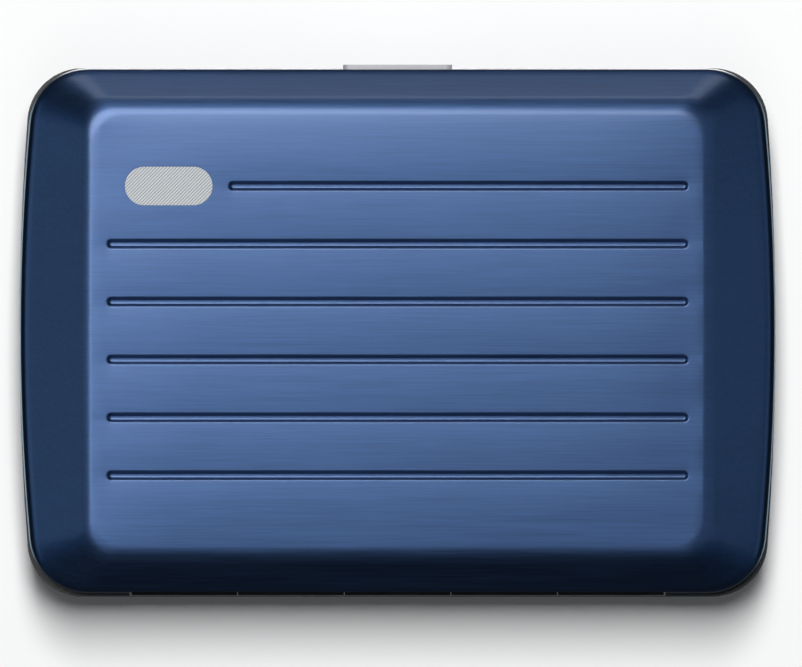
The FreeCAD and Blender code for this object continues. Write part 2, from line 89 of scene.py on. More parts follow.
# ---------------------------------------------------------------- table top
# The case lies on its rear panel on a plain, matt, near-white table. The sheet is much larger than the
# case, so no edge of it comes near the case's shadow.
table_size = 1.2
bpy.ops.object.select_all(action="DESELECT")
bpy.ops.mesh.primitive_plane_add(size=table_size)
table = bpy.context.object
table.name = "table_top"
table_finish = bpy.data.materials.new("white_table")
table_finish.use_nodes = True
table_shader = table_finish.node_tree.nodes["Principled BSDF"]
table_shader.inputs["Base Color"].default_value = (0.90, 0.90, 0.90, 1)
table_shader.inputs["Roughness"].default_value = 0.9
table_shader.inputs["Specular IOR Level"].default_value = 0.1
table.data.materials.append(table_finish)
table.visible_glossy = False

# ---------------------------------------------------------------- camera
# It looks straight down on the front panel from 3 m, with the latch edge at the top. What it sees is
# 116.8 mm wide at the case's parting line, and the case sits a little left of centre and a little high.
camera_height = 3.0
camera_right = 0.5 * mm
camera_up = -0.4 * mm
view_width = 116.8 * mm
sensor = 36.0
lens = bpy.data.cameras.new("camera")
lens.sensor_width = sensor
lens.lens = sensor * (camera_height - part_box("front_frame")[0].z) / view_width
lens.clip_end = 10
camera = bpy.data.objects.new("camera", lens)
camera.location = (camera_right, camera_up, camera_height)
bpy.context.scene.collection.objects.link(camera)
bpy.context.scene.camera = camera

# ---------------------------------------------------------------- studio light
# A strip from overhead to the latch side and a weak fill opposite light the table, so the shadow falls
# mainly on the hinge side. The metal mirrors six soft boxes of its own: the main one over the panel's
# upper left, one past the latch edge, and two cool ones to each side, of which one is low.
scene = bpy.context.scene
scene.view_settings.view_transform = "Standard"
scene.world = bpy.data.worlds.new("studio")
scene.world.use_nodes = True
scene.world.node_tree.nodes["Background"].inputs["Color"].default_value = (0.7, 0.85, 1.0, 1)
scene.world.node_tree.nodes["Background"].inputs["Strength"].default_value = 0.03


def soft_box(name, place, width, depth, watts, tint=(1, 1, 1), mirrored=True):
    """An area light that faces the case. Either the metal mirrors it, or it lights matt surfaces."""
    light = bpy.data.lights.new(name, "AREA")
    light.shape = "RECTANGLE"
    light.size = width
    light.size_y = depth
    light.energy = watts
    light.color = tint
    lamp = bpy.data.objects.new(name, light)
    lamp.location = place
    lamp.rotation_euler = (-Vector(place)).to_track_quat("-Z", "Y").to_euler()
    lamp.visible_glossy = mirrored
    lamp.visible_diffuse = not mirrored
    lamp.visible_camera = False
    scene.collection.objects.link(lamp)


cool = (0.66, 0.98, 1.2)
soft_box("table_strip", place=(0, 0.59, 1.4), width=0.40, depth=0.97, watts=26.3, mirrored=False)
soft_box("table_fill", place=(0, -0.6, 1.2), width=0.8, depth=0.8, watts=1.3, mirrored=False)
soft_box("main", place=(-0.17, 0.305, 0.95), width=0.56, depth=0.45, watts=5.7)
soft_box("latch_side", place=(0, 1.2, 0.10), width=1.2, depth=0.25, watts=2.4)
soft_box("left", place=(-1.05, 0.0, 0.66), width=0.55, depth=1.2, watts=1.1, tint=cool)
soft_box("right", place=(0.82, 0.1, 0.88), width=1.25, depth=1.2, watts=1.8, tint=cool)
soft_box("low_left", place=(-1.2, 0.0, 0.14), width=1.2, depth=0.28, watts=0.5, tint=cool)
soft_box("low_right", place=(1.2, 0.0, 0.14), width=1.2, depth=0.28, watts=0.5, tint=cool)

# ---------------------------------------------------------------- aluminium shells
# Two half shells, each drawn from one 0.8 mm aluminium sheet that was brushed along its length and then
# anodised navy blue. Six grooves are pressed into each panel. The rim is cut after anodising, so its edge
# is bright metal, and each shell is glued and crimped over its frame's wall.
half_x = 55.0 * mm
half_y = 38.2 * mm
rim_corner = 8.6 * mm
side_bow = 330 * mm
parting_z = (cad_box[0].z + cad_box[1].z) / 2
rim_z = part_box("front_shell")[0].z
face_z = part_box("front_shell")[1].z
sheet_metal = 0.8 * mm
lip = 0.2 * mm  # the cut rim stands out this far from the wall
lip_edge = 0.12 * mm  # the height of the lip's outer edge
cut_height = 0.3 * mm  # the height of the rim that is cut to bright metal
shoulder_z = rim_z + 3.2 * mm
slope_x = 9.8 * mm
slope_y = 5.3 * mm
corner_loss = 4.2 * mm
panel_bow = 4.0
soft_edge_x = 15.0 * mm  # the panel's margin rises gently from the crease to the flat
soft_edge_y = 8.0 * mm
soft_edge_drop = 0.16 * mm
groove_pitch = 8.4 * mm
groove_rows = [(row - 2.5) * groove_pitch for row in range(6)]
groove_half = 0.74 * mm
groove_floor = 0.3  # the share of the groove's width that is its flat floor
groove_depth = 0.45 * mm
groove_end = 42.25 * mm
short_groove = -24.6 * mm
crown = 0.07 * mm  # how far the panel bulges between two grooves
knuckle_relief = 1.85 * mm  # the radius that is cut away round the hinge
uv_cube = 10 * mm
same_place = 0.001 * mm  # points nearer to each other than this are one


def anodised_aluminium():
    """Brushed, dyed and sealed aluminium: a tinted metal under the clear oxide layer."""
    finish = bpy.data.materials.new("anodised_blue")
    finish.use_nodes = True
    nodes, links = finish.node_tree.nodes, finish.node_tree.links
    shader = nodes["Principled BSDF"]
    shader.inputs["Metallic"].default_value = 1.0
    shader.inputs["Anisotropic"].default_value = 0.6
    shader.inputs["Anisotropic Rotation"].default_value = 0.25
    shader.inputs["Coat Weight"].default_value = 0.4
    shader.inputs["Coat Roughness"].default_value = 0.22
    shader.inputs["Coat IOR"].default_value = 1.6
    tangent = nodes.new("ShaderNodeTangent")
    tangent.direction_type = "UV_MAP"
    tangent.uv_map = "brushing"
    links.new(tangent.outputs["Tangent"], shader.inputs["Tangent"])

    place = nodes.new("ShaderNodeTexCoord")
    brushing = None
    fine_strokes = (11 * mm, 0.22 * mm, 3.0, 1.0)
    broad_strokes = (30 * mm, 0.9 * mm, 2.0, 0.4)
    clouding = (24 * mm, 5 * mm, 1.0, 0.3)
    for length, width, detail, weight in (fine_strokes, broad_strokes, clouding):
        stretch = nodes.new("ShaderNodeMapping")
        stretch.inputs["Scale"].default_value = (1 / length, 1 / width, 1 / width)
        links.new(place.outputs["Object"], stretch.inputs["Vector"])
        stroke = nodes.new("ShaderNodeTexNoise")
        stroke.inputs["Scale"].default_value = 1.0
        stroke.inputs["Detail"].default_value = detail
        stroke.inputs["Roughness"].default_value = 0.6
        links.new(stretch.outputs["Vector"], stroke.inputs["Vector"])
        layer = nodes.new("ShaderNodeMath")
        layer.operation = "MULTIPLY_ADD"
        layer.inputs[1].default_value = weight
        layer.inputs[2].default_value = 0.0
        links.new(stroke.outputs["Fac"], layer.inputs[0])
        if brushing:
            links.new(brushing, layer.inputs[2])
        brushing = layer.outputs["Value"]

    dye = nodes.new("ShaderNodeValToRGB")
    dye.color_ramp.elements[0].position = 0.6
    dye.color_ramp.elements[0].color = (0.041, 0.080, 0.183, 1)
    dye.color_ramp.elements[1].position = 1.0
    dye.color_ramp.elements[1].color = (0.054, 0.106, 0.240, 1)
    links.new(brushing, dye.inputs["Fac"])
    links.new(dye.outputs["Color"], shader.inputs["Base Color"])

    gloss = nodes.new("ShaderNodeMapRange")
    gloss.inputs["From Min"].default_value = 0.5
    gloss.inputs["From Max"].default_value = 1.2
    gloss.inputs["To Min"].default_value = 0.36
    gloss.inputs["To Max"].default_value = 0.46
    links.new(brushing, gloss.inputs["Value"])
    links.new(gloss.outputs["Result"], shader.inputs["Roughness"])

    scratch = nodes.new("ShaderNodeBump")
    scratch.inputs["Strength"].default_value = 0.2
    scratch.inputs["Distance"].default_value = 0.02 * mm
    links.new(brushing, scratch.inputs["Height"])
    links.new(scratch.outputs["Normal"], shader.inputs["Normal"])
    return finish


def cut_aluminium():
    """The bright edge that the trimming tool leaves, with fine marks along the rim."""
    finish = bpy.data.materials.new("cut_edge")
    finish.use_nodes = True
    nodes, links = finish.node_tree.nodes, finish.node_tree.links
    shader = nodes["Principled BSDF"]
    shader.inputs["Metallic"].default_value = 1.0
    shader.inputs["Base Color"].default_value = (0.72, 0.73, 0.75, 1)
    place = nodes.new("ShaderNodeTexCoord")
    marks = nodes.new("ShaderNodeTexNoise")
    marks.inputs["Scale"].default_value = 2500
    marks.inputs["Detail"].default_value = 2
    gloss = nodes.new("ShaderNodeMapRange")
    gloss.inputs["To Min"].default_value = 0.22
    gloss.inputs["To Max"].default_value = 0.42
    links.new(place.outputs["Object"], marks.inputs["Vector"])
    links.new(marks.outputs["Fac"], gloss.inputs["Value"])
    links.new(gloss.outputs["Result"], shader.inputs["Roughness"])
    return finish


anodised = anodised_aluminium()
cut_edge = cut_aluminium()


def begin_piece(name):
    """A new mesh object of one vertex at the origin, open in edit mode with that vertex selected."""
    bpy.ops.object.select_all(action="DESELECT")
    bpy.ops.mesh.primitive_plane_add(size=mm)
    piece = bpy.context.object
    piece.name = name
    bpy.ops.object.mode_set(mode="EDIT")
    bpy.ops.mesh.select_mode(type="VERT")
    bpy.ops.mesh.select_all(action="SELECT")
    bpy.ops.mesh.merge(type="CENTER")
    return piece


def add_vertex():
    """One more loose vertex at the origin of the open mesh, selected alone."""
    bpy.ops.mesh.select_all(action="DESELECT")
    bpy.ops.mesh.primitive_plane_add(size=mm)
    bpy.ops.mesh.merge(type="CENTER")


def run(x, y):
    """Extrudes the selected vertex along a straight edge."""
    bpy.ops.mesh.extrude_region_move(TRANSFORM_OT_translate={"value": (x, y, 0)})


def turn(x, y, z, angle, steps):
    """Sweeps the selected vertex anticlockwise about an upright line."""
    bpy.ops.mesh.spin(steps=steps, angle=angle, center=(x, y, z), axis=(0, 0, -1))


corner_steps = 10
side_steps = 14


def draw_case_outline(half_width, half_height, corner, bow, z):
    """Draws one closed outline of the case, with round corners and bowed sides, from one vertex."""
    centre = half_width - bow
    corner_y = half_height - corner
    corner_x = centre + math.sqrt((bow - corner) ** 2 - corner_y**2)
    lean = math.atan2(corner_y, corner_x - centre)
    bpy.ops.transform.translate(value=(0, -half_height, z))
    run(corner_x, 0)
    turn(corner_x, -corner_y, z, math.pi / 2 - lean, corner_steps)
    turn(centre, 0, z, 2 * lean, side_steps)
    turn(corner_x, corner_y, z, math.pi / 2 - lean, corner_steps)
    run(-2 * corner_x, 0)
    turn(-corner_x, corner_y, z, math.pi / 2 - lean, corner_steps)
    turn(-centre, 0, z, 2 * lean, side_steps)
    turn(-corner_x, -corner_y, z, math.pi / 2 - lean, corner_steps)
    run(corner_x, 0)
    bpy.ops.mesh.select_linked()
    bpy.ops.mesh.remove_doubles(threshold=0.01 * mm)


def select_where(test):
    """Selects the shown vertices that pass a test of their place, and what lies between them."""
    bpy.ops.mesh.select_all(action="DESELECT")
    mesh = bmesh.from_edit_mesh(bpy.context.object.data)
    for vertex in mesh.verts:
        vertex.select = not vertex.hide and test(vertex.co)
    mesh.select_flush(True)
    bmesh.update_edit_mesh(bpy.context.object.data)


def at_height(*heights):
    """A test for vertices at any of these heights."""
    return lambda co: any(abs(co.z - z) < same_place for z in heights)


def stack_outlines(draw, rings):
    """Draws one outline after another and joins each to the last. A ring ends with its height."""
    for number, ring in enumerate(rings):
        if number:
            add_vertex()
        draw(*ring)
    for low, high in zip(rings, rings[1:]):
        select_where(at_height(low[-1], high[-1]))
        bpy.ops.mesh.bridge_edge_loops()


def inset_at(z, run_in, wall, low_z, top_z, shoulder, crease):
    """How far a shell's side has come in at one height: wall, round shoulder, slope, round crease."""
    tilt = math.atan2(top_z - low_z, run_in)
    drop = top_z - z
    if drop <= crease * (1 - math.cos(tilt)):
        end = run_in + crease * math.tan(tilt / 2)
        return end - crease * math.sin(math.acos(1 - drop / crease))
    lean = math.pi / 2 - tilt
    rise = z - (low_z + wall * math.tan(tilt) - shoulder * math.tan(lean / 2))
    if rise <= 0:
        return wall
    if rise < shoulder * math.sin(lean):
        return wall + shoulder * (1 - math.cos(math.asin(rise / shoulder)))
    return (z - low_z) / math.tan(tilt)


crease_steps = 16


def skin_rings(foot, wall, low_z, top_z, shoulder, crease):
    """The outlines of one skin of a shell: its foot, then the upright wall, the slope and the crease."""
    rings = []
    for inset, z in foot:
        rings.append((half_x - inset, half_y - inset, rim_corner - inset, side_bow - inset, z))
    edge_z = top_z - soft_edge_drop
    steepest = math.atan2(edge_z - low_z, slope_y)
    heights = [low_z + rise * mm for rise in (-1.5, -1.0, -0.5, 0.0, 0.5, 1.0, 1.5)]
    for step in range(crease_steps, 0, -1):
        heights.append(edge_z - crease * (1 - math.cos(steepest * step / crease_steps)))
    for z in heights:
        in_x = inset_at(z, slope_x, wall, low_z, edge_z, shoulder, crease)
        in_y = inset_at(z, slope_y, wall, low_z, edge_z, shoulder, crease)
        climb = min(1.0, (in_x - wall) / slope_x)
        bow = 1 / ((1 - climb) / side_bow + climb / panel_bow)
        rings.append((half_x - in_x, half_y - in_y, rim_corner - wall - climb * corner_loss, bow, z))
    return rings


def smooth_step(low, high, value):
    """0 below low, 1 above high, and a smooth rise between them."""
    share = min(1.0, max(0.0, (value - low) / (high - low)))
    return share * share * (3 - 2 * share)


def panel_drop(x, y, starts, half_width):
    """How far the panel is pressed down: the grooves, and the dip that each draws down with it."""
    groove = dip = 0.0
    for row, start in zip(groove_rows, starts):
        past = max(start + half_width - x, x - groove_end + half_width, 0.0)
        reach = math.hypot(past, y - row)
        wall = smooth_step(groove_floor * half_width, half_width, reach)
        groove = max(groove, groove_depth * (1 - wall))
        dip = max(dip, crown * (1 - min(1.0, 2 * reach / groove_pitch)) ** 2)
    return groove + dip


def panel_rise(x, y, half_panel_x, half_panel_y):
    """How far the panel's soft margin has risen: 0 at the crease, 1 on the flat."""
    short_x = 1 - min(1.0, max(0.0, half_panel_x - abs(x)) / soft_edge_x)
    short_y = 1 - min(1.0, max(0.0, half_panel_y - abs(y)) / soft_edge_y)
    return (1 - short_x**2) * (1 - short_y**2)


def press(piece, height, share_at):
    """Moves every shown vertex up by its share of a height."""
    bpy.ops.object.mode_set(mode="OBJECT")
    group = piece.vertex_groups.new(name="pressed")
    for vertex in piece.data.vertices:
        if not vertex.hide:
            group.add([vertex.index], share_at(vertex.co.x, vertex.co.y), "REPLACE")
    bpy.ops.object.modifier_add(type="DISPLACE")
    displace = piece.modifiers[-1]
    displace.direction = "Z"
    displace.mid_level = 0
    displace.strength = height
    displace.vertex_group = group.name
    bpy.ops.object.modifier_apply(modifier=displace.name)
    piece.vertex_groups.clear()
    bpy.ops.object.mode_set(mode="EDIT")


def cut_panel(starts, half_width, across, along):
    """Cuts the shown flat panel into strips both ways, closest at the grooves and near the margin."""
    strips_per_pitch = 4
    outer_strip = 3 * strips_per_pitch
    margin_y = (24, 26.2, 27.2, 28.2, 29.1, 29.9)  # millimetres from the panel's middle
    margin_x = (0, 12, 24, 29, 32, 35, 37.5, 39.5, 41.2, 43)
    cuts_y = {side * place * mm for side in (-1, 1) for place in margin_y}
    cuts_y |= {strip / strips_per_pitch * groove_pitch for strip in range(-outer_strip, outer_strip + 1)}
    for row in groove_rows:
        cuts_y |= {row + side * half_width * share for share in across for side in (-1, 1)}
    cuts_x = {side * place * mm for side in (-1, 1) for place in margin_x}
    for end in {*starts, groove_end}:
        inward = half_width if end < 0 else -half_width
        cuts_x |= {end + inward * share for share in along}
    for axis, cuts in ((Vector((1, 0, 0)), cuts_x), (Vector((0, 1, 0)), cuts_y)):
        for place in sorted(cuts):
            bpy.ops.mesh.select_all(action="SELECT")
            bpy.ops.mesh.bisect(plane_co=axis * place, plane_no=axis, threshold=same_place)


def close_panel(z):
    """Fills a skin's last outline with the flat panel, and leaves only that shown."""
    select_where(at_height(z))
    bpy.ops.mesh.edge_face_add()
    bpy.ops.mesh.hide(unselected=True)


def make_skin(name, starts, foot, wall, low_z, top_z, shoulder, crease, half_width, across, along):
    """One skin of a shell, from its rim to its pressed panel, open at the rim."""
    skin = begin_piece(name)
    rings = skin_rings(foot, wall, low_z, top_z, shoulder, crease)
    stack_outlines(draw_case_outline, rings)
    panel_x, panel_y, *_, panel_z = rings[-1]
    close_panel(panel_z)
    cut_panel(starts, half_width, across, along)
    deepest = groove_depth + crown
    press(skin, top_z - panel_z, lambda x, y: panel_rise(x, y, panel_x, panel_y))
    press(skin, -deepest, lambda x, y: panel_drop(x, y, starts, half_width) / deepest)
    bpy.ops.mesh.reveal()
    bpy.ops.object.mode_set(mode="OBJECT")
    return skin


def cut_away(piece, cutter):
    """Takes the cutter's shape out of the piece."""
    bpy.context.view_layer.objects.active = piece
    bpy.ops.object.modifier_add(type="BOOLEAN")
    cut = piece.modifiers[-1]
    cut.object = cutter
    cut.solver = "EXACT"
    bpy.ops.object.modifier_apply(modifier=cut.name)
    bpy.data.objects.remove(cutter)


def make_shell(name, starts):
    """A half shell, lying as the front one does: two skins joined at the rim, with its openings cut."""
    inner_rim_z = rim_z + 0.05 * mm
    inner_shoulder_z = shoulder_z - 1.0 * mm
    outer = make_skin(
        name,
        starts,
        foot=[(0.0, rim_z), (0.0, rim_z + lip_edge), (lip, rim_z + cut_height)],
        wall=lip,
        low_z=shoulder_z,
        top_z=face_z,
        shoulder=2.2 * mm,
        crease=4.2 * mm,
        half_width=groove_half,
        across=(0, 0.15, 0.3, 0.42, 0.54, 0.66, 0.78, 0.9, 1.0, 1.15),
        along=(-0.15, 0, 0.1, 0.22, 0.34, 0.46, 0.6, 0.75, 0.9, 1.05, 1.3),
    )
    make_skin(
        name + "_inside",
        starts,
        foot=[(lip + sheet_metal, inner_rim_z)],
        wall=lip + sheet_metal,
        low_z=inner_shoulder_z,
        top_z=face_z - sheet_metal,
        shoulder=1.4 * mm,
        crease=3.4 * mm,
        half_width=groove_half + 0.5 * sheet_metal,
        across=(0, 0.3, 0.5, 0.7, 1.0),
        along=(-0.1, 0, 0.3, 0.6, 1.0),
    )
    outer.select_set(True)
    bpy.context.view_layer.objects.active = outer
    bpy.ops.object.join()
    bpy.ops.object.mode_set(mode="EDIT")
    select_where(at_height(rim_z, inner_rim_z))
    bpy.ops.mesh.bridge_edge_loops()
    bpy.ops.mesh.select_all(action="SELECT")
    bpy.ops.mesh.normals_make_consistent(inside=False)
    bpy.ops.object.mode_set(mode="OBJECT")

    window_width = 16.1 * mm
    window_depth = 6 * mm
    window_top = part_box("latch_button")[1].z + 0.15 * mm
    bpy.ops.mesh.primitive_cube_add(size=1, location=(0, half_y, rim_z))
    bpy.ops.transform.resize(value=(window_width, window_depth, 2 * (window_top - rim_z)))
    cut_away(outer, bpy.context.object)
    pin_low, pin_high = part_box("hinge_pin")
    end_gap = 0.3 * mm
    bpy.ops.mesh.primitive_cylinder_add(
        vertices=64,
        radius=knuckle_relief,
        depth=pin_high.x - pin_low.x + 2 * end_gap,
        location=(pin_low + pin_high) / 2,
        rotation=(0, math.pi / 2, 0),
    )
    cut_away(outer, bpy.context.object)
    return outer


def finish_shell(shell):
    """Brushed direction, finishes and shading for a shell that is in place."""
    bpy.ops.object.select_all(action="DESELECT")
    shell.select_set(True)
    bpy.context.view_layer.objects.active = shell
    shell.data.uv_layers.new(name="brushing")
    bpy.ops.object.mode_set(mode="EDIT")
    bpy.ops.mesh.select_all(action="SELECT")
    bpy.ops.uv.cube_project(cube_size=uv_cube)
    bpy.ops.object.mode_set(mode="OBJECT")
    shell.data.materials.append(anodised)
    shell.data.materials.append(cut_edge)
    for face in shell.data.polygons:
        if abs(face.center.z - parting_z) < rim_z - parting_z + cut_height:
            face.material_index = 1
    bpy.ops.object.shade_smooth_by_angle(angle=math.radians(40))


def lozenge(name, length, width, low, high):
    """A flat plate with round ends, from a cylinder whose two halves are drawn apart."""
    bpy.ops.object.select_all(action="DESELECT")
    bpy.ops.mesh.primitive_cylinder_add(vertices=64, radius=width / 2, depth=high - low)
    plate = bpy.context.object
    plate.name = name
    bpy.ops.object.mode_set(mode="EDIT")
    bpy.ops.mesh.select_mode(type="VERT")
    for side in (-1, 1):
        select_where(lambda co: side * co.x > same_place)
        bpy.ops.transform.translate(value=(side * (length - width) / 2, 0, 0))
    bpy.ops.mesh.select_all(action="SELECT")
    bpy.ops.transform.translate(value=(emblem_spot.x, emblem_spot.y, (low + high) / 2))
    bpy.ops.object.mode_set(mode="OBJECT")
    return plate


emblem_spot = Vector((-33.2 * mm, groove_rows[-1], face_z))
emblem_length = 12.7 * mm
emblem_width = 5.6 * mm
recess = 0.12 * mm
recess_fit = 0.16 * mm
recess_length = emblem_length + 2 * recess_fit
recess_width = emblem_width + 2 * recess_fit
long_row = -groove_end
front = make_shell("front_shell_formed", [long_row] * 5 + [short_groove])
cut_away(front, lozenge("recess", recess_length, recess_width, face_z - recess, face_z + mm))
finish_shell(front)
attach(front, "lid")
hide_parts("front_shell")

rear = make_shell("rear_shell_formed", [long_row] * 6)
bpy.ops.object.select_all(action="DESELECT")
rear.select_set(True)
bpy.context.view_layer.objects.active = rear
bpy.ops.object.mode_set(mode="EDIT")
bpy.ops.mesh.select_all(action="SELECT")
bpy.ops.transform.rotate(value=math.pi, orient_axis="Y", center_override=(0, 0, parting_z))
bpy.ops.object.mode_set(mode="OBJECT")
finish_shell(rear)
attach(rear, "rear_half")
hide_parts("rear_shell")

# ---------------------------------------------------------------- emblem
# A small bare aluminium lozenge, let into a shallow recess at the front panel's upper left. Its face is
# cut with close diagonal strokes whose floors keep the blue dye, with bare lands between them.
hatch_pitch = 0.35 * mm
land_share = 0.7  # the share of the pitch that stays bare
stroke_wall = 0.02 * mm
stroke_depth = 0.04 * mm
emblem_face = face_z - 0.02 * mm


def bare_aluminium():
    """Laser-cut bare metal, pale and only slightly glossy."""
    finish = bpy.data.materials.new("bare_aluminium")
    finish.use_nodes = True
    nodes, links = finish.node_tree.nodes, finish.node_tree.links
    shader = nodes["Principled BSDF"]
    shader.inputs["Metallic"].default_value = 0.35
    shader.inputs["Roughness"].default_value = 0.55
    place = nodes.new("ShaderNodeTexCoord")
    grain = nodes.new("ShaderNodeTexNoise")
    grain.inputs["Scale"].default_value = 1 / (0.25 * mm)
    shade = nodes.new("ShaderNodeValToRGB")
    shade.color_ramp.elements[0].color = (0.44, 0.44, 0.42, 1)
    shade.color_ramp.elements[1].color = (0.66, 0.66, 0.63, 1)
    links.new(place.outputs["Object"], grain.inputs["Vector"])
    links.new(grain.outputs["Fac"], shade.inputs["Fac"])
    links.new(shade.outputs["Color"], shader.inputs["Base Color"])
    return finish


emblem = lozenge("emblem", emblem_length, emblem_width, face_z - recess, emblem_face)
bpy.ops.object.mode_set(mode="EDIT")
diagonal = Vector((1, -1, 0)).normalized()
reach = (emblem_length + emblem_width) / 2
strokes = int(reach / hatch_pitch)
for stroke in range(-strokes, strokes + 1):
    for share in (0, land_share):
        bpy.ops.mesh.select_all(action="SELECT")
        spot = emblem_spot + diagonal * (stroke + share) * hatch_pitch
        bpy.ops.mesh.bisect(plane_co=spot, plane_no=diagonal, threshold=same_place)
bpy.ops.mesh.select_mode(type="FACE")
plate_mesh = bmesh.from_edit_mesh(emblem.data)
for face in plate_mesh.faces:
    along = (face.calc_center_median() - emblem_spot).dot(diagonal) / hatch_pitch
    face.select = face.normal.z > 0.9 and along % 1.0 > land_share
bmesh.update_edit_mesh(emblem.data)
bpy.ops.mesh.inset(thickness=stroke_wall, depth=-stroke_depth)
emblem.data.materials.append(bare_aluminium())
emblem.data.materials.append(anodised)
emblem.active_material_index = 1
bpy.ops.object.material_slot_assign()
emblem.data.uv_layers.new(name="brushing")
bpy.ops.mesh.select_all(action="SELECT")
bpy.ops.uv.cube_project(cube_size=uv_cube)
bpy.ops.object.mode_set(mode="OBJECT")
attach(emblem, "lid")

# ---------------------------------------------------------------- moulded frames
# Each shell grips a black frame moulded in glass-filled nylon, satin and very finely grained. The frames
# carry the hinge knuckles and the latch, and their flanges meet at the parting line.


def moulded_plastic(name, colour, roughness, grain_size, relief):
    """Satin injection-moulded plastic with the fine spark-eroded grain of its mould."""
    gloss_spread = 0.06
    finish = bpy.data.materials.new(name)
    finish.use_nodes = True
    nodes, links = finish.node_tree.nodes, finish.node_tree.links
    shader = nodes["Principled BSDF"]
    place = nodes.new("ShaderNodeTexCoord")
    grain = nodes.new("ShaderNodeTexNoise")
    grain.inputs["Scale"].default_value = 1 / grain_size
    grain.inputs["Detail"].default_value = 4
    links.new(place.outputs["Object"], grain.inputs["Vector"])
    tone = nodes.new("ShaderNodeValToRGB")
    tone.color_ramp.elements[0].color = (*(0.85 * c for c in colour), 1)
    tone.color_ramp.elements[1].color = (*(1.15 * c for c in colour), 1)
    links.new(grain.outputs["Fac"], tone.inputs["Fac"])
    links.new(tone.outputs["Color"], shader.inputs["Base Color"])
    gloss = nodes.new("ShaderNodeMapRange")
    gloss.inputs["To Min"].default_value = roughness - gloss_spread
    gloss.inputs["To Max"].default_value = roughness + gloss_spread
    links.new(grain.outputs["Fac"], gloss.inputs["Value"])
    links.new(gloss.outputs["Result"], shader.inputs["Roughness"])
    dimple = nodes.new("ShaderNodeBump")
    dimple.inputs["Strength"].default_value = relief
    dimple.inputs["Distance"].default_value = 0.02 * mm
    links.new(grain.outputs["Fac"], dimple.inputs["Height"])
    links.new(dimple.outputs["Normal"], shader.inputs["Normal"])
    return finish


def repaint(node, finish):
    """Gives a CAD node this finish in place of its plain one."""
    materials = frame["nodes"][node].data.materials
    materials.clear()
    materials.append(finish)


black_nylon = moulded_plastic(
    "black_nylon", colour=(0.012, 0.012, 0.013), roughness=0.42, grain_size=0.25 * mm, relief=0.25
)
for node in ("front_frame", "rear_frame"):
    repaint(node, black_nylon)

# ---------------------------------------------------------------- hinge pin, strike and rivets
# Bright stainless steel: the pin is drawn wire, the strike is a bent strip and the rivets are
# round-headed. All are finely scratched by drawing and tumbling.


def stainless_steel():
    """Drawn or tumbled stainless steel with fine random marks."""
    mark_length = 2.5 * mm
    mark_width = mm / 6
    finish = bpy.data.materials.new("stainless_steel")
    finish.use_nodes = True
    nodes, links = finish.node_tree.nodes, finish.node_tree.links
    shader = nodes["Principled BSDF"]
    shader.inputs["Metallic"].default_value = 1.0
    shader.inputs["Base Color"].default_value = (0.60, 0.60, 0.61, 1)
    place = nodes.new("ShaderNodeTexCoord")
    stretch = nodes.new("ShaderNodeMapping")
    stretch.inputs["Scale"].default_value = (1 / mark_length, 1 / mark_width, 1 / mark_width)
    marks = nodes.new("ShaderNodeTexNoise")
    marks.inputs["Scale"].default_value = 1.0
    marks.inputs["Detail"].default_value = 4
    links.new(place.outputs["Object"], stretch.inputs["Vector"])
    links.new(stretch.outputs["Vector"], marks.inputs["Vector"])
    gloss = nodes.new("ShaderNodeMapRange")
    gloss.inputs["To Min"].default_value = 0.18
    gloss.inputs["To Max"].default_value = 0.42
    links.new(marks.outputs["Fac"], gloss.inputs["Value"])
    links.new(gloss.outputs["Result"], shader.inputs["Roughness"])
    return finish


steel = stainless_steel()
for node in ("hinge_pin", "strike_plate", "strike_rivets"):
    repaint(node, steel)

# ---------------------------------------------------------------- latch button
# One light grey acetal moulding: the cap, its retaining flange, two arms round the strike and the hooked
# bar. Its edges are softened by the mould, and the cap stands half a millimetre proud of the shells.
grey_acetal = moulded_plastic(
    "grey_acetal", colour=(0.36, 0.36, 0.38), roughness=0.38, grain_size=0.3 * mm, relief=0.2
)
bpy.ops.object.select_all(action="DESELECT")
cad_button = frame["nodes"]["latch_button"]
button_mesh = bpy.data.objects.new("latch_button_moulded", cad_button.data.copy())
scene.collection.objects.link(button_mesh)
button_mesh.select_set(True)
bpy.context.view_layer.objects.active = button_mesh
bpy.ops.object.mode_set(mode="EDIT")
bpy.ops.mesh.select_all(action="SELECT")
bpy.ops.mesh.remove_doubles(threshold=same_place)
bpy.ops.mesh.dissolve_limited(angle_limit=math.radians(2))
bpy.ops.object.mode_set(mode="OBJECT")
bpy.ops.object.modifier_add(type="BEVEL")
softened = button_mesh.modifiers[-1]
softened.width = 0.18 * mm
softened.segments = 3
softened.limit_method = "ANGLE"
softened.angle_limit = math.radians(35)
bpy.ops.object.modifier_apply(modifier=softened.name)
bpy.ops.object.shade_smooth_by_angle(angle=math.radians(40))
button_mesh.data.materials.clear()
button_mesh.data.materials.append(grey_acetal)
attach(button_mesh, "latch_button")
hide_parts("latch_button")

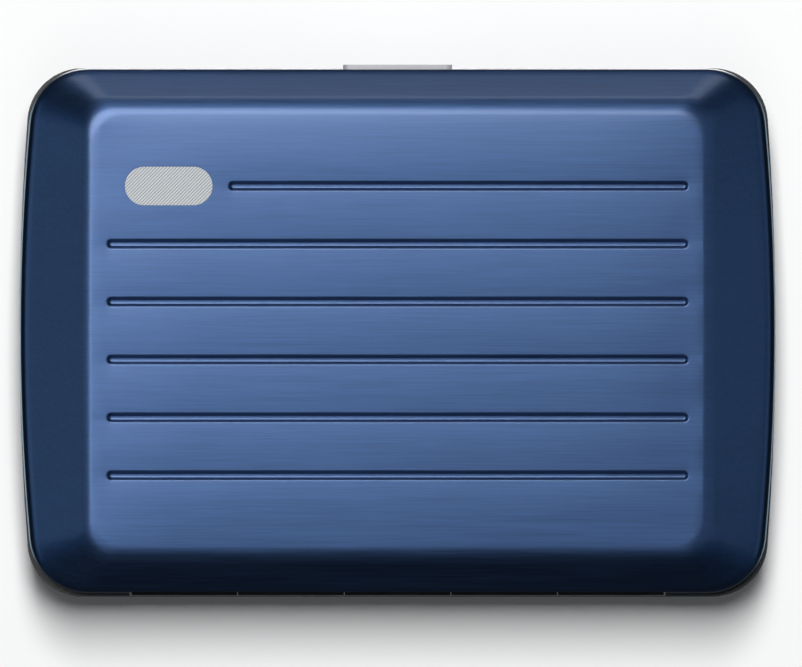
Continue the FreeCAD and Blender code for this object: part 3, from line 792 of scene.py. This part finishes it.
# ---------------------------------------------------------------- latch springs
# Two small compression springs of 0.3 mm steel wire, five turns each, between the frame's spring wall
# and the button's bar.
wire_radius = 0.15 * mm
coils = 5
steps_per_coil = 24
for side in ("left", "right"):
    low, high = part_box("latch_spring_" + side)
    centre = (low + high) / 2
    free_length = high.y - low.y
    bpy.ops.object.select_all(action="DESELECT")
    coil_radius = (high.x - low.x) / 2 - wire_radius
    bpy.ops.mesh.primitive_circle_add(vertices=10, radius=wire_radius, location=(coil_radius, 0, 0))
    spring = bpy.context.object
    spring.name = "latch_spring_coil_" + side
    bpy.ops.object.transform_apply(location=True)
    bpy.ops.object.modifier_add(type="SCREW")
    winding = spring.modifiers[-1]
    winding.axis = "Y"
    winding.angle = 2 * math.pi * coils
    winding.screw_offset = free_length - 2 * wire_radius
    winding.steps = winding.render_steps = steps_per_coil * coils
    bpy.ops.object.modifier_apply(modifier=winding.name)
    bpy.ops.object.mode_set(mode="EDIT")
    bpy.ops.mesh.select_all(action="SELECT")
    bpy.ops.mesh.fill_holes(sides=0)
    bpy.ops.mesh.normals_make_consistent(inside=False)
    bpy.ops.mesh.select_all(action="SELECT")
    bpy.ops.transform.translate(value=(centre.x, low.y + wire_radius, centre.z))
    bpy.ops.object.mode_set(mode="OBJECT")
    bpy.ops.object.shade_smooth_by_angle(angle=math.radians(50))
    spring.data.materials.append(steel)
    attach(spring, "rear_half")
    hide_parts("latch_spring_" + side)
    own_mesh(spring)

# ---------------------------------------------------------------- card pockets
# Two backing sheets are glued inside the shells. Between them lie eight leaves of black polypropylene,
# 0.5 mm thick, embossed with a fine leather grain, each with a thumb notch in its mouth edge.


def grained_polypropylene(name, colour):
    """Black plastic sheet, rolled with a small leather grain."""
    pebble_size = mm / 1.7
    haze_size = mm / 0.09
    finish = bpy.data.materials.new(name)
    finish.use_nodes = True
    nodes, links = finish.node_tree.nodes, finish.node_tree.links
    shader = nodes["Principled BSDF"]
    place = nodes.new("ShaderNodeTexCoord")
    pebbles = nodes.new("ShaderNodeTexVoronoi")
    pebbles.feature = "F1"
    pebbles.inputs["Scale"].default_value = 1 / pebble_size
    haze = nodes.new("ShaderNodeTexNoise")
    haze.inputs["Scale"].default_value = 1 / haze_size
    haze.inputs["Detail"].default_value = 3
    for texture in (pebbles, haze):
        links.new(place.outputs["Object"], texture.inputs["Vector"])
    tone = nodes.new("ShaderNodeValToRGB")
    tone.color_ramp.elements[0].color = (*(0.8 * c for c in colour), 1)
    tone.color_ramp.elements[1].color = (*(1.3 * c for c in colour), 1)
    links.new(haze.outputs["Fac"], tone.inputs["Fac"])
    links.new(tone.outputs["Color"], shader.inputs["Base Color"])
    gloss = nodes.new("ShaderNodeMapRange")
    gloss.inputs["To Min"].default_value = 0.42
    gloss.inputs["To Max"].default_value = 0.6
    links.new(pebbles.outputs["Distance"], gloss.inputs["Value"])
    links.new(gloss.outputs["Result"], shader.inputs["Roughness"])
    emboss = nodes.new("ShaderNodeBump")
    emboss.inputs["Strength"].default_value = 0.35
    emboss.inputs["Distance"].default_value = 0.05 * mm
    links.new(pebbles.outputs["Distance"], emboss.inputs["Height"])
    links.new(emboss.outputs["Normal"], shader.inputs["Normal"])
    return finish


leaf_sheet = grained_polypropylene("grained_black_sheet", (0.040, 0.041, 0.045))
backing_sheet = grained_polypropylene("backing_sheet", (0.026, 0.026, 0.029))
for node in ("front_liner", "rear_liner"):
    repaint(node, backing_sheet)
dividers = [f"divider_{number}" for number in range(1, 7)]
leaves = ["pocket_wall_rear", *dividers, "pocket_wall_front"]
for node in leaves:
    repaint(node, leaf_sheet)

# ---------------------------------------------------------------- pleats
# Each pocket is closed on three sides by one strip of thin polypropylene film, creased into a V that
# points outwards and welded to the edges of its two leaves.
film = 0.2 * mm
leaf_corner = 4.0 * mm
leaf_gap = 0.13 * mm  # keeps the turning leaves clear of the film
leaf_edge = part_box("divider_1")[1].x + leaf_gap
leaf_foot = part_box("divider_1")[0].y - leaf_gap
pleat_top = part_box("gusset_left")[1].y
side_depth = 3.2 * mm
foot_depth = 1.7 * mm
end_depth = 0.7  # the first and last pleats have this share of the depth, to clear the frames
leaf_heights = [(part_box(node)[0].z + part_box(node)[1].z) / 2 for node in leaves]
pleat_film = moulded_plastic(
    "creased_film", colour=(0.028, 0.028, 0.031), roughness=0.45, grain_size=0.5 * mm, relief=0.3
)


def draw_pocket_edge(out_x, out_y, z):
    """Draws the line round a pocket's left side, foot and right side, moved out by out_x and out_y."""
    corner = leaf_corner + out_y
    half_width, foot = leaf_edge + out_x, leaf_foot - out_y
    bpy.ops.transform.translate(value=(-half_width, pleat_top, z))
    run(0, foot + corner - pleat_top)
    turn(corner - half_width, foot + corner, z, math.pi / 2, corner_steps)
    run(2 * (half_width - corner), 0)
    turn(half_width - corner, foot + corner, z, math.pi / 2, corner_steps)
    run(0, pleat_top - foot - corner)


pockets = len(leaves) - 1
fold_section = ((0, 0), (0.5, 0.24), (0.86, 0.42), (1, 0.5), (0.86, 0.58), (0.5, 0.76), (0, 1))
for number, (low, high) in enumerate(zip(leaf_heights, leaf_heights[1:])):
    pleat = begin_piece(f"pleat_{number + 1}")
    share = end_depth if number in (0, pockets - 1) else 1.0
    fold = []
    for out, up in fold_section:
        fold.append((share * side_depth * out, share * foot_depth * out, low + (high - low) * up))
    stack_outlines(draw_pocket_edge, fold)
    bpy.ops.mesh.select_all(action="SELECT")
    bpy.ops.mesh.normals_make_consistent(inside=False)
    bpy.ops.object.mode_set(mode="OBJECT")
    bpy.ops.object.modifier_add(type="SOLIDIFY")
    thick = pleat.modifiers[-1]
    thick.thickness = film
    thick.offset = 0
    bpy.ops.object.modifier_apply(modifier=thick.name)
    bpy.ops.object.shade_smooth_by_angle(angle=math.radians(50))
    pleat.data.materials.append(pleat_film)
    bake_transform(pleat)
    if number == 0:
        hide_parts("gusset_left", "gusset_right", "pocket_spine")
